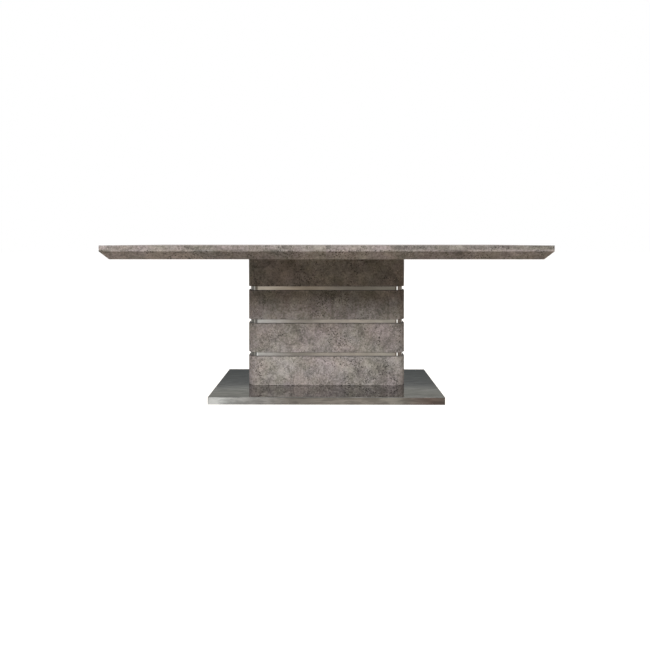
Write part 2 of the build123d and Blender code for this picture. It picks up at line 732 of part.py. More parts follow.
def top_screws(side):
    """Screws up into the panel: pan heads under the angles, flush heads in the racks."""
    with BuildPart() as screws:
        for end in ENDS:
            for x in ANGLE_SCREW_X:
                with Locations((side * x, end * ANGLE_SCREW_Y, PANEL_BOTTOM - ANGLE_WALL)):
                    Cylinder(SCREW_RADIUS, ANGLE_WALL + SCREW_GRIP - SCREW_TIP_CLEARANCE, align=STANDING)
                    Cylinder(SCREW_HEAD_RADIUS, SCREW_HEAD, align=HANGING)
        for x, y in rack_screw_positions(side):
            with Locations((x, y, RACK_BOTTOM)):
                shank = PANEL_BOTTOM + SCREW_GRIP - SCREW_TIP_CLEARANCE - RACK_BOTTOM
                Cylinder(SCREW_RADIUS, shank, align=STANDING)
    return screws


def seam_dowels():
    """Beech dowels fixed in the right half, entering sockets in the left one."""
    with BuildPart() as dowels:
        with BuildSketch(Plane.YZ.offset(SEAM / 2 - DOWEL_PROUD)):
            with Locations(*[(y, PANEL_BOTTOM + PANEL_THICKNESS / 2) for y in SEAM_DOWELS]):
                Circle(DOWEL_RADIUS)
        extrude(amount=DOWEL_LENGTH)
        chamfer(dowels.edges().filter_by(GeomType.CIRCLE), DOWEL_CHAMFER)
    return dowels


# ---------------------------------------------------------------- geared equaliser
def half_tooth_angle(radius):
    """Half the angle that a pinion tooth fills at a radius, from the involute of its base circle."""
    base = PINION_RADIUS * cos(PRESSURE_ANGLE)
    spread = tan(PRESSURE_ANGLE) - PRESSURE_ANGLE
    at_pitch = (PITCH / 2 - TOOTH_THINNING) / (2 * PINION_RADIUS)
    if radius <= base:
        return at_pitch + spread
    roll = sqrt((radius / base) ** 2 - 1)
    return at_pitch + spread - (roll - atan(roll))


def pinion(end):
    root = PINION_RADIUS - DEDENDUM
    tip = PINION_RADIUS + ADDENDUM
    radii = [root, PINION_RADIUS * cos(PRESSURE_ANGLE) + INVOLUTE_START, PINION_RADIUS, tip]
    outline = []
    for tooth in range(PINION_TEETH):
        centre = pi / 2 + tooth * 2 * pi / PINION_TEETH
        for radius in radii:
            angle = centre - half_tooth_angle(radius)
            outline.append((radius * cos(angle), radius * sin(angle)))
        for radius in reversed(radii):
            angle = centre + half_tooth_angle(radius)
            outline.append((radius * cos(angle), radius * sin(angle)))
    with BuildPart() as gear:
        with BuildSketch(Plane.XY.offset(PINION_BOTTOM)):
            with Locations((0, end * PINION_Y)):
                Polygon(*outline, align=None)
        extrude(amount=PINION_TOP - PINION_BOTTOM)
        with BuildSketch(Plane.XY.offset(BRACKET_TOP + HUB_CLEARANCE)):
            with Locations((0, end * PINION_Y)):
                Circle(root - HUB_STEP)
        extrude(amount=PINION_BOTTOM - BRACKET_TOP - HUB_CLEARANCE)
        with BuildSketch(Plane.XY.offset(BRACKET_TOP)):
            with Locations((0, end * PINION_Y)):
                Circle(PINION_BORE)
        extrude(amount=PINION_TOP - BRACKET_TOP, mode=Mode.SUBTRACT)
    return gear


def rack_outline():
    """Rack with its teeth towards -Y and its pitch line on Y = 0, from the tail at -X to the last tooth."""
    flank = tan(PRESSURE_ANGLE)
    half_gap = PITCH / 4 + TOOTH_THINNING / 2
    first = 1 - TEETH_PAST_TRAVEL
    last = int(TRAVEL / PITCH) + TEETH_PAST_TRAVEL
    top = [(-RACK_TAIL, DEDENDUM)]
    for index in range(first, last):
        centre = (index + 0.5) * PITCH
        root_half = PITCH / 2 - half_gap + DEDENDUM * flank
        tip_half = PITCH / 2 - half_gap - ADDENDUM * flank
        top.append((centre - root_half, DEDENDUM))
        top.append((centre - tip_half, -ADDENDUM))
        top.append((centre + tip_half, -ADDENDUM))
        top.append((centre + root_half, DEDENDUM))
    far = (last + 0.5) * PITCH
    return top + [(far, DEDENDUM), (far, DEDENDUM + RACK_BACK), (-RACK_TAIL, DEDENDUM + RACK_BACK)]


def racks(side):
    """The two racks of a half.  Left racks have their backs away from the table's middle."""
    with BuildPart() as pair:
        for end in ENDS:
            outward = -side * end
            points = [(-side * x, outward * y) for x, y in rack_outline()]
            with BuildSketch(Plane.XY.offset(RACK_BOTTOM)):
                with Locations((0, rack_y(side, end))):
                    Polygon(*points, align=None)
            extrude(amount=RACK_THICKNESS)
            with BuildSketch(Plane.XY.offset(RACK_TOP)):
                boss_y = rack_y(side, end) + outward * (DEDENDUM + RACK_BACK / 2)
                with Locations(*[(side * x, boss_y) for x in RACK_BOSSES]):
                    Rectangle(RACK_BOSS_LENGTH, RACK_BACK)
            extrude(amount=RACK_SEAT)
        with BuildSketch(Plane.XY.offset(RACK_BOTTOM)):
            with Locations(*rack_screw_positions(side)):
                Circle(SCREW_HOLE_RADIUS)
        extrude(amount=PANEL_BOTTOM - RACK_BOTTOM, mode=Mode.SUBTRACT)
    return pair


def pinion_brackets():
    """Angle brackets on the channels' backs, each holding a pinion's axle."""
    with BuildPart() as brackets:
        for end in ENDS:
            with BuildSketch(Plane.XY.offset(BRACKET_TOP - BRACKET)):
                with Locations((0, end * (BRACKET_INNER_Y + CHANNEL_Y) / 2)):
                    Rectangle(BRACKET_WIDTH, CHANNEL_Y - BRACKET_INNER_Y)
                with Locations((0, end * PINION_Y)):
                    Circle(AXLE_RADIUS, mode=Mode.SUBTRACT)
            extrude(amount=BRACKET)
            with BuildSketch(Plane.XY.offset(BRACKET_TOP - BRACKET_LEG)):
                with Locations((0, end * (CHANNEL_Y - BRACKET / 2))):
                    Rectangle(BRACKET_WIDTH, BRACKET)
            extrude(amount=BRACKET_LEG)
    return brackets


def pinion_axles():
    with BuildPart() as axles:
        with BuildSketch(Plane.XY.offset(BRACKET_TOP - BRACKET)):
            with Locations((0, -PINION_Y), (0, PINION_Y)):
                Circle(AXLE_RADIUS)
        extrude(amount=AXLE_HEAD_BOTTOM + BRACKET - BRACKET_TOP)
        with BuildSketch(Plane.XY.offset(AXLE_HEAD_BOTTOM)):
            with Locations((0, -PINION_Y), (0, PINION_Y)):
                Circle(AXLE_HEAD_RADIUS)
        extrude(amount=AXLE_HEAD)
    return axles


# ---------------------------------------------------------------- locks
def lock_block(start, end_x, side):
    """Blocks under the panel, front and rear, bored for the sliding bolts."""
    with BuildPart() as blocks:
        for end in ENDS:
            middle = (side * (start + end_x) / 2, end * LOCK_Y)
            with BuildSketch(Plane.XY.offset(PANEL_BOTTOM - LOCK_HEIGHT)):
                with Locations(middle):
                    Rectangle(end_x - start, LOCK_WIDTH)
            extrude(amount=LOCK_HEIGHT)
        chamfer(blocks.faces().sort_by(Axis.Z)[0:2].edges(), BLOCK_CHAMFER)
        with BuildSketch(Plane.YZ.offset(side * start)):
            with Locations((-LOCK_Y, LOCK_Z), (LOCK_Y, LOCK_Z)):
                Circle(LOCK_BOLT_RADIUS + LOCK_BOLT_PLAY)
        extrude(amount=side * (end_x - start), mode=Mode.SUBTRACT)
        if side < 0:
            with BuildSketch(Plane.XY.offset(PANEL_BOTTOM - LOCK_HEIGHT)):
                slot_middle = -KNOB_X + LOCK_TRAVEL / 2
                with Locations((slot_middle, -LOCK_Y), (slot_middle, LOCK_Y)):
                    SlotOverall(
                        LOCK_TRAVEL + 2 * KNOB_RADIUS + KNOB_PLAY, 2 * KNOB_RADIUS + KNOB_PLAY
                    )
            extrude(amount=LOCK_HEIGHT - LOCK_AXIS_DROP, mode=Mode.SUBTRACT)
    return blocks


def lock_bolt(end):
    with BuildPart() as bolt:
        with BuildSketch(Plane.YZ.offset(-LOCK_BOLT_START - LOCK_BOLT_LENGTH)):
            with Locations((end * LOCK_Y, LOCK_Z)):
                Circle(LOCK_BOLT_RADIUS)
        extrude(amount=LOCK_BOLT_LENGTH)
        chamfer(bolt.edges().filter_by(GeomType.CIRCLE), DOWEL_CHAMFER)
        with BuildSketch(Plane.XY.offset(LOCK_Z - KNOB_DROP)):
            with Locations((-KNOB_X, end * LOCK_Y)):
                Circle(KNOB_RADIUS)
        extrude(amount=KNOB_DROP)
    return bolt


# ---------------------------------------------------------------- write every piece
write(base_core(), "base_core")
write(base_cladding(), "base_cladding")
write(foot_inserts(), "foot_inserts")
for foot_name, (foot_x, foot_y) in FOOT_POSITIONS.items():
    write(levelling_foot(foot_x, foot_y), foot_name)

for number, box_name in enumerate(BOX_NAMES):
    write(pedestal_box(BASE_TOP + number * BOX_PITCH), box_name)
for number, band_name in enumerate(BAND_NAMES):
    write(spacer_band(BASE_TOP + BOX_HEIGHT + number * BOX_PITCH), band_name)
write(box_lids(), "box_lids")
write(spacer_cores(), "spacer_cores")
write(tie_rods(), "tie_rods")
write(tie_rod_nuts(), "tie_rod_nuts")
write(tie_rod_washers(), "tie_rod_washers")

write(mounting_plate(), "mounting_plate")
write(frame_bolts(), "frame_bolts")
write(frame_nuts(), "frame_nuts")
write(leaf_bars(), "leaf_bars")
write(leaf_felts(), "leaf_felts")
write(pinion_brackets(), "pinion_brackets")
write(pinion_axles(), "pinion_axles")
for end_name, end_sign in (("front", -1), ("rear", 1)):
    write(slide_channel(end_sign), f"slide_channel_{end_name}")
    write(pinion(end_sign), f"pinion_{end_name}")
    write(lock_bolt(end_sign), f"lock_bolt_{end_name}")

write(leaf_half(LEAF_LEVELS[0]), "leaf_lower_half")
write(leaf_half(LEAF_LEVELS[1]), "leaf_upper_half")
write(leaf_hinges(), "leaf_hinges")
write(leaf_dowels(), "leaf_dowels")

for side_name, side_sign in (("left", -1), ("right", 1)):
    write(cross_bearer(side_sign), f"cross_bearer_{side_name}")
    write(top_panel(side_sign), f"top_panel_{side_name}")
    write(long_edge(side_sign, -1), f"edge_front_{side_name}")
    write(long_edge(side_sign, 1), f"edge_rear_{side_name}")
    write(end_edge(side_sign), f"edge_end_{side_name}")
    write(runners(side_sign), f"runners_{side_name}")
    write(runner_angles(side_sign), f"runner_angles_{side_name}")
    write(racks(side_sign), f"racks_{side_name}")
    write(ball_cages(side_sign), f"ball_cages_{side_name}")
    write(top_screws(side_sign), f"top_screws_{side_name}")
write(seam_dowels(), "seam_dowels")
write(lock_block(HOUSING_START, HOUSING_END, -1), "lock_housings")
write(lock_block(KEEPER_START, KEEPER_END, 1), "lock_keepers")
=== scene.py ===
import json
import math

import bpy
from mathutils import Euler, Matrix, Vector

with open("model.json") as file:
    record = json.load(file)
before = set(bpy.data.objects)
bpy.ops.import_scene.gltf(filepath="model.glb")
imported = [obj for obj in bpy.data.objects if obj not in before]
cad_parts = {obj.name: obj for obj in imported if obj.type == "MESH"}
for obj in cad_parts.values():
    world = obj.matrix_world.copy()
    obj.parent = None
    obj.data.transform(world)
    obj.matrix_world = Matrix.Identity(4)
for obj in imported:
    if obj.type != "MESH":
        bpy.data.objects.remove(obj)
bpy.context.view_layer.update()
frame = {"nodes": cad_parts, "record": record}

# ------------------------------------------------------------------ camera
CAMERA_PLACE = (0.011, -2.991, 0.772)
CAMERA_YAW = math.radians(-0.362)
CAMERA_PITCH = math.radians(0.727)
FOCAL_PER_FRAME = 0.8741
SENSOR = 36.0
SHIFT_Y = -0.1155

# ------------------------------------------------------------------ light
# The two big softboxes stand at a bearing from straight in front, towards +X, and at a height.
SOFTBOX_AIM = (0.0, -0.1, 0.45)
SOFTBOX_DISTANCE = 12.0
SOFTBOX_SIZE = (4.5, 5.1)
KEY_BEARING = math.radians(-6.0)
KEY_HEIGHT = math.radians(39.5)
KEY_POWER = 1440.0
REAR_BEARING = math.radians(150.0)
REAR_HEIGHT = math.radians(36.0)
REAR_POWER = 560.0
WINDOW_PLACE = (-3.6, -2.2, 1.1)
WINDOW_AIM = (-0.3, -0.1, 0.5)
WINDOW_SIZE = (0.7, 1.4)
WINDOW_POWER = 9.0
WINDOW_COLOUR = (0.84, 0.95, 1.0)
OVERHEAD_PLACE = (-0.6, 0.9, 4.2)
OVERHEAD_AIM = (0.0, 0.2, 0.7)
OVERHEAD_SIZE = (3.0, 0.4)
OVERHEAD_POWER = 30.0

AMBIENT_FRONT = (0.036, 0.027, 0.016, 1.0)
AMBIENT_BACK = (0.300, 0.292, 0.280, 1.0)
AMBIENT_TURNS_FROM = -0.4  # the part of a direction along Y where the ambient light starts to brighten
AMBIENT_TURNS_TO = 0.6
# The room that polished steel shows, by the upward part of the direction: a dim wall, then a lit ceiling.
ROOM_BANDS = [
    (0.000, (0.130, 0.138, 0.138, 1)),
    (0.218, (0.135, 0.143, 0.143, 1)),
    (0.2300, (0.168, 0.176, 0.174, 1)),
    (0.2418, (0.206, 0.211, 0.210, 1)),
    (0.2432, (0.360, 0.365, 0.350, 1)),
    (0.2480, (0.335, 0.338, 0.318, 1)),
    (0.2525, (0.392, 0.392, 0.360, 1)),
    (0.2565, (0.290, 0.290, 0.266, 1)),
    (0.2600, (0.375, 0.375, 0.350, 1)),
    (0.300, (0.410, 0.410, 0.390, 1)),
    (0.450, (0.620, 0.620, 0.605, 1)),
    (0.620, (1.150, 1.150, 1.120, 1)),
    (0.850, (0.900, 0.900, 0.880, 1)),
]

FLOOR_HALF = 40.0
FLOOR_DIFFUSE = (0.35, 0.30, 0.24, 1.0)
FLOOR_ROUGHNESS = 0.9
WHITE = (1.0, 1.0, 1.0, 1.0)
BLACK = (0.0, 0.0, 0.0, 1.0)
# Painted reflection of the floor, given only in reflections, which upright steel shows: bright towards a
# window on the left, warm and dim to the right.
SHEEN_BACK = 2.85
SHEEN_FROM = -0.22
SHEEN_TO = 0.18
PAINTED_FLOOR_REFLECTION = [
    (0.000, (0.24, 0.23, 0.21, 1)),
    (0.060, (0.50, 0.50, 0.48, 1)),
    (0.110, (1.25, 1.26, 1.22, 1)),
    (0.145, (1.36, 1.38, 1.33, 1)),
    (0.190, (0.88, 0.88, 0.84, 1)),
    (0.310, (0.68, 0.65, 0.61, 1)),
    (0.400, (0.47, 0.43, 0.38, 1)),
    (0.450, (0.43, 0.39, 0.34, 1)),
    (0.515, (0.50, 0.45, 0.39, 1)),
    (0.612, (0.60, 0.54, 0.47, 1)),
    (0.675, (0.55, 0.49, 0.42, 1)),
    (0.825, (0.54, 0.50, 0.43, 1)),
    (0.900, (0.43, 0.35, 0.30, 1)),
    (0.945, (0.33, 0.25, 0.21, 1)),
    (1.000, (0.24, 0.20, 0.17, 1)),
]
# Further out that painted reflection is warmer at the left and dimmer at the right, either side of these
# slopes.
FAR_FROM = 3.2
FAR_TO = 6.0
FAR_LEFT_TINT = (0.88, 0.80, 0.70, 1.0)
FAR_RIGHT_TINT = (0.47, 0.465, 0.445, 1.0)
RIGHT_SLOPE_FROM = -0.06
RIGHT_SLOPE_TO = 0.03
# Painted highlights: narrow glowing patches out to the sides, which the rounded ends of the bands show as
# slits.
# Each has its side along X, its two bearings from straight in front, in degrees, and its light.
PATCH_SEEN_FROM = 0.36
PATCH_BLUR = 3.0
CLEAR_OF_PLINTH_FROM = 0.5  # closer than this the patches would show in the plinth's own front
CLEAR_OF_PLINTH_TO = 0.7
PAINTED_HIGHLIGHT_PATCHES = [
    (1, 27.0, 41.0, (2.4, 2.4, 2.3, 1.0)),
    (-1, 46.0, 62.0, (0.70, 0.68, 0.63, 1.0)),
]


# ------------------------------------------------------------------ shader helpers
class NodeTree:
    """The nodes of a material or a world, with short calls for the ones that are used most."""

    def __init__(self, owner):
        owner.use_nodes = True
        self.tree = owner.node_tree
        self.tree.nodes.clear()

    def node(self, kind, inputs, **settings):
        made = self.tree.nodes.new(kind)
        for name, value in settings.items():
            setattr(made, name, value)
        for key, value in inputs.items():
            if isinstance(value, bpy.types.NodeSocket):
                self.tree.links.new(value, made.inputs[key])
            else:
                made.inputs[key].default_value = value
        return made

    def math(self, operation, a, b=0.0):
        return self.node("ShaderNodeMath", {0: a, 1: b}, operation=operation).outputs[0]

    def blend(self, shares):
        """The sum of some values, each times its share."""
        total = None
        for value, share in shares:
            part = self.math("MULTIPLY", value, share)
            total = part if total is None else self.math("ADD", total, part)
        return total

    def fade(self, value, low, high, to_low=0.0, to_high=1.0, kind="SMOOTHSTEP"):
        """A smooth step of value between low and high, or a straight one."""
        inputs = {"Value": value, "From Min": low, "From Max": high, "To Min": to_low, "To Max": to_high}
        return self.node("ShaderNodeMapRange", inputs, interpolation_type=kind).outputs[0]

    def ramp(self, factor, stops):
        made = self.node("ShaderNodeValToRGB", {"Fac": factor})
        elements = made.color_ramp.elements
        while len(elements) < len(stops):
            elements.new(1.0)
        for element, (position, colour) in zip(elements, stops):
            element.position = position
            element.color = colour
        return made.outputs[0]

    def mix(self, factor, a, b, blend="MIX"):
        """Two colours blended; a colour mix has its factor at socket 0 and its colours at 6 and 7."""
        inputs = {0: factor, 6: a, 7: b}
        return self.node("ShaderNodeMix", inputs, data_type="RGBA", blend_type=blend).outputs[2]


class Shader(NodeTree):
    """One material, with the textures and the surface that the looks are made of."""

    def __init__(self, name):
        self.material = bpy.data.materials.new(name)
        super().__init__(self.material)
        self.output = self.tree.nodes.new("ShaderNodeOutputMaterial")
        self.coordinates = self.tree.nodes.new("ShaderNodeTexCoord").outputs["Object"]

    def place(self, offset=(0, 0, 0), stretch=(1, 1, 1)):
        """The object's own coordinates, moved and stretched."""
        inputs = {"Vector": self.coordinates, "Location": offset, "Scale": stretch}
        return self.node("ShaderNodeMapping", inputs).outputs[0]

    def noise(self, vector, scale, detail=2.0, roughness=0.5, distortion=0.0):
        inputs = {"Vector": vector, "Scale": scale, "Detail": detail, "Roughness": roughness,
                  "Distortion": distortion}
        return self.node("ShaderNodeTexNoise", inputs).outputs[0]

    def wander(self, vector, scale, detail=3.0):
        """A colour whose channels drift apart, to push coordinates about with."""
        inputs = {"Vector": vector, "Scale": scale, "Detail": detail}
        return self.node("ShaderNodeTexNoise", inputs).outputs[1]

    def cells(self, vector, scale, feature="F1"):
        inputs = {"Vector": vector, "Scale": scale}
        made = self.node("ShaderNodeTexVoronoi", inputs, feature=feature)
        return made.outputs["Distance"]

    def bump(self, height, distance, under=None):
        inputs = {"Height": height, "Distance": distance, "Strength": 1.0}
        if under is not None:
            inputs["Normal"] = under
        return self.node("ShaderNodeBump", inputs).outputs[0]

    def surface(self, inputs):
        made = self.node("ShaderNodeBsdfPrincipled", inputs)
        self.tree.links.new(made.outputs[0], self.output.inputs["Surface"])
        return self.material


def grey(value, warmth=0.0):
    return (value * (1 + warmth), value, value * (1 - 1.3 * warmth), 1.0)


def stone(value, blush=0.0):
    """The laminate's warm grey at a brightness, turned a little towards pink by the blush."""
    return (value * 1.10, value * (1 - blush), value * 0.915 * (1 + blush), 1.0)


# ------------------------------------------------------------------ materials
FLECK_SHIFT = 0.004
ALONG_X = (0.012, 1.0, 1.0)
JOINT_SHADE_WIDTH = 0.0026
JOINT_SHADE_STRENGTH = 0.50
LAMINATE_GLOSS = 0.30
PIT_DEPTH = 0.0005
DUST_DEPTH = 0.00008
SHEET_RIPPLE = 0.0002
BRUSH_DEPTH = 0.0000005


def concrete_laminate(name, offset, light_lift, shaded_rims=None):
    """Concrete-effect laminate: warm grey clouds, mottling, grain, pits in clusters and pale flecks.

    A box gets a thin painted shade line at its low and high rim, where it meets the parts above and
    below.
    """
    s = Shader(name)
    at = s.place(offset=offset)
    clouds = s.noise(at, scale=4.5, detail=3.0, roughness=0.55, distortion=0.6)
    mottle = s.noise(at, scale=20.0, detail=5.0, roughness=0.60, distortion=0.3)
    sand = s.noise(at, scale=95.0, detail=3.0, roughness=0.65)
    grain = s.noise(at, scale=260.0, detail=4.0, roughness=0.7)
    dust = s.noise(at, scale=900.0, detail=2.0, roughness=0.6)
    tone = s.blend([(clouds, 0.27), (mottle, 0.22), (sand, 0.33), (grain, 0.18)])
    colour = s.ramp(tone, [
        (0.39, stone(0.125 * light_lift)),
        (0.45, stone(0.210 * light_lift)),
        (0.51, stone(0.300 * light_lift, 0.008)),
        (0.58, stone(0.430 * light_lift, 0.022)),
    ])

    pink = s.fade(s.noise(at, scale=7.0, detail=4.0), 0.35, 0.65)
    colour = s.mix(1.0, colour, s.mix(pink, (0.975, 1.008, 0.99, 1), (1.028, 0.992, 1.01, 1)), "MULTIPLY")
    cool = s.fade(s.noise(at, scale=11.0, detail=3.0), 0.35, 0.65)
    colour = s.mix(1.0, colour, s.mix(cool, (1, 1, 0.965, 1), (1, 1, 1.04, 1)), "MULTIPLY")

    stain_field = s.noise(at, scale=7.5, detail=6.0, roughness=0.68, distortion=1.2)
    stains = s.fade(stain_field, 0.55, 0.64)
    colour = s.mix(s.math("MULTIPLY", stains, 0.50), colour, stone(0.115))

    ragged = s.mix(0.012, at, s.wander(at, scale=70.0))
    clusters = s.fade(s.noise(at, scale=9.0, detail=3.0, roughness=0.6), 0.50, 0.60)
    pits = s.math("MULTIPLY", s.fade(s.cells(ragged, scale=100.0), 0.40, 0.24), clusters)
    scattered = s.fade(s.noise(at, scale=36.0, detail=2.0), 0.44, 0.56)
    specks = s.math("MULTIPLY", s.fade(s.cells(ragged, scale=135.0), 0.33, 0.20), scattered)
    folds = s.noise(at, scale=42.0, detail=2.0, distortion=0.8)
    from_contour = s.math("ABSOLUTE", s.math("SUBTRACT", folds, 0.5))
    crinkled = s.fade(s.noise(at, scale=12.0), 0.50, 0.60)
    crinkles = s.math("MULTIPLY", s.fade(from_contour, 0.022, 0.006), crinkled)
    beside = s.place(offset=[place + FLECK_SHIFT for place in offset])
    pale = s.fade(s.noise(at, scale=13.0, detail=2.0), 0.50, 0.62)
    flecks = s.math("MULTIPLY", s.fade(s.cells(beside, scale=100.0), 0.36, 0.16), pale)
    colour = s.mix(s.math("MULTIPLY", flecks, 0.70), colour, stone(0.56))
    colour = s.mix(s.math("MULTIPLY", crinkles, 0.55), colour, stone(0.085))
    colour = s.mix(s.math("MULTIPLY", specks, 0.78), colour, stone(0.060))
    colour = s.mix(s.math("MULTIPLY", pits, 0.85), colour, stone(0.045))

    crooked = s.mix(0.09, at, s.wander(at, scale=9.0))
    veins = s.fade(s.cells(crooked, scale=4.2, feature="DISTANCE_TO_EDGE"), 0.022, 0.005)
    veins = s.math("MULTIPLY", veins, s.fade(s.noise(at, scale=5.0), 0.50, 0.60))
    colour = s.mix(s.math("MULTIPLY", veins, 0.50), colour, stone(0.090))
    # Painted shade: a thin dark line along the box's low and high rim, where it meets the parts above and
    # below.
    if shaded_rims is not None:
        low, high = shaded_rims
        level = s.node("ShaderNodeSeparateXYZ", {0: s.coordinates}).outputs["Z"]
        from_middle = s.math("ABSOLUTE", s.math("SUBTRACT", level, (low + high) / 2))
        half = (high - low) / 2
        joint_shade = s.fade(from_middle, half - JOINT_SHADE_WIDTH, half - JOINT_SHADE_WIDTH / 2)
        colour = s.mix(s.math("MULTIPLY", joint_shade, JOINT_SHADE_STRENGTH), colour, stone(0.020))

    roughness = s.fade(mottle, 0.3, 0.7, 0.46, 0.62)
    height = s.math("SUBTRACT", s.math("MULTIPLY", grain, 0.35), pits)
    height = s.math("SUBTRACT", height, s.math("MULTIPLY", specks, 0.4))
    normal = s.bump(dust, DUST_DEPTH, under=s.bump(height, PIT_DEPTH))
    return s.surface({"Base Color": colour, "Roughness": roughness, "Normal": normal,
                      "Specular IOR Level": LAMINATE_GLOSS})


def polished_steel(name, tint, streaks):
    """Bright stainless sheet with a fine brush along its length, smears, streaks and a few scratches."""
    s = Shader(name)
    brush = s.noise(s.place(stretch=ALONG_X), scale=900.0, detail=3.0, roughness=0.7)
    smear = s.noise(s.place(stretch=(1, 2.2, 2.2)), scale=6.0, detail=4.0, roughness=0.6, distortion=0.4)
    scratch_field = s.noise(s.place(stretch=ALONG_X, offset=(3.1, 0.7, 0.2)), scale=240.0, detail=1.0)
    scratch = s.fade(scratch_field, 0.73, 0.80)
    roughness = s.fade(smear, 0.3, 0.75, 0.005, 0.03)
    roughness = s.math("ADD", roughness, s.math("MULTIPLY", brush, 0.015))
    roughness = s.math("ADD", roughness, s.math("MULTIPLY", scratch, 0.12))
    streak = s.noise(s.place(stretch=(0.2, 1, 1)), scale=75.0, detail=3.0, roughness=0.6)
    dull = s.math("MULTIPLY", s.fade(smear, 0.35, 0.70, 1.06, 0.92),
                  s.fade(streak, 0.35, 0.65, 1 + streaks, 1 - streaks))
    colour = s.ramp(brush, [(0.3, grey(tint * 0.93, 0.012)), (0.7, grey(tint * 1.05, 0.012))])
    colour = s.mix(1.0, colour, dull, "MULTIPLY")
    rolled = s.noise(s.place(stretch=(0.5, 1, 1)), scale=5.0, detail=1.0)
    ripple = s.bump(rolled, SHEET_RIPPLE)
    height = s.math("ADD", brush, s.math("MULTIPLY", scratch, -0.8))
    return s.surface({"Base Color": colour, "Metallic": 1.0, "Roughness": roughness,
                      "Normal": s.bump(height, BRUSH_DEPTH, under=ripple)})


def zinc_plate(name):
    """Zinc-plated steel: a cloudy grey bloom, half matt."""
    s = Shader(name)
    at = s.place()
    bloom = s.noise(at, scale=35.0, detail=5.0, roughness=0.6)
    colour = s.ramp(bloom, [(0.35, (0.50, 0.51, 0.53, 1)), (0.55, (0.60, 0.60, 0.60, 1)),
                            (0.70, (0.62, 0.60, 0.55, 1))])
    roughness = s.fade(s.noise(at, scale=90.0, detail=4.0), 0.3, 0.7, 0.24, 0.46)
    normal = s.bump(s.noise(at, scale=1400.0, detail=2.0), 0.00003)
    return s.surface({"Base Color": colour, "Metallic": 1.0, "Roughness": roughness, "Normal": normal})


def powder_coat(name):
    """Black powder coat with a fine orange peel."""
    s = Shader(name)
    at = s.place()
    peel = s.noise(at, scale=950.0, detail=2.0)
    colour = s.ramp(s.noise(at, scale=18.0, detail=5.0), [(0.35, grey(0.020)), (0.65, grey(0.036))])
    roughness = s.fade(s.noise(at, scale=60.0, detail=3.0), 0.3, 0.7, 0.40, 0.56)
    return s.surface({"Base Color": colour, "Roughness": roughness, "Normal": s.bump(peel, 0.00012)})


def fibreboard(name):
    """Raw fibreboard: brown, matt and lightly hairy."""
    s = Shader(name)
    at = s.place()
    fibre = s.noise(s.place(stretch=(1, 1, 4)), scale=420.0, detail=5.0, roughness=0.75)
    tone = s.blend([(fibre, 0.6), (s.noise(at, scale=30.0, detail=4.0), 0.4)])
    colour = s.ramp(tone, [(0.35, (0.24, 0.165, 0.10, 1)), (0.62, (0.44, 0.33, 0.215, 1))])
    return s.surface({"Base Color": colour, "Roughness": s.fade(fibre, 0.3, 0.7, 0.75, 0.95),
                      "Normal": s.bump(fibre, 0.0002)})


def moulded_nylon(name):
    """Dark nylon with a moulded grain."""
    s = Shader(name)
    at = s.place()
    texture = s.noise(at, scale=1600.0, detail=2.0)
    colour = s.ramp(s.noise(at, scale=45.0, detail=4.0), [(0.35, grey(0.038)), (0.65, grey(0.058))])
    roughness = s.fade(s.noise(at, scale=120.0, detail=3.0), 0.3, 0.7, 0.38, 0.55)
    return s.surface({"Base Color": colour, "Roughness": roughness, "Normal": s.bump(texture, 0.00005)})


def foot_rubber(name):
    """Black rubber, scuffed grey."""
    s = Shader(name)
    at = s.place()
    scuff = s.noise(at, scale=130.0, detail=6.0, roughness=0.7)
    colour = s.ramp(scuff, [(0.40, grey(0.022)), (0.70, grey(0.060))])
    return s.surface({"Base Color": colour, "Roughness": s.fade(scuff, 0.3, 0.7, 0.62, 0.88),
                      "Normal": s.bump(scuff, 0.0001)})


def pressed_felt(name):
    """Grey felt, fibrous and matt."""
    s = Shader(name)
    at = s.place()
    fibre = s.noise(at, scale=1100.0, detail=5.0, roughness=0.8, distortion=1.5)
    colour = s.ramp(fibre, [(0.35, grey(0.055)), (0.68, grey(0.15))])
    return s.surface({"Base Color": colour, "Roughness": 0.95, "Normal": s.bump(fibre, 0.0004),
                      "Sheen Weight": 0.35, "Sheen Roughness": 0.5})


def turned_beech(name):
    """Beech with its grain along X and fine dark pores."""
    s = Shader(name)
    along = s.place(stretch=(0.12, 1, 1))
    figure = s.noise(along, scale=320.0, detail=5.0, roughness=0.65, distortion=0.5)
    pores = s.fade(s.noise(along, scale=1500.0, detail=1.0), 0.60, 0.72)
    colour = s.ramp(figure, [(0.32, (0.42, 0.255, 0.135, 1)), (0.68, (0.62, 0.42, 0.25, 1))])
    colour = s.mix(s.math("MULTIPLY", pores, 0.5), colour, (0.26, 0.14, 0.07, 1))
    return s.surface({"Base Color": colour, "Roughness": s.fade(figure, 0.3, 0.7, 0.45, 0.62),
                      "Normal": s.bump(pores, -0.00008)})


def turned_brass(name):
    """Brass, tarnished in places, with faint turning rings."""
    s = Shader(name)
    at = s.place()
    tarnish = s.noise(at, scale=55.0, detail=5.0, roughness=0.65)
    colour = s.ramp(tarnish, [(0.35, (0.36, 0.25, 0.10, 1)), (0.65, (0.66, 0.50, 0.23, 1))])
    rings = s.noise(s.place(stretch=(1, 1, 9)), scale=260.0, detail=2.0)
    roughness = s.fade(tarnish, 0.3, 0.7, 0.24, 0.42)
    return s.surface({"Base Color": colour, "Metallic": 1.0, "Roughness": roughness,
                      "Normal": s.bump(rings, 0.00003)})


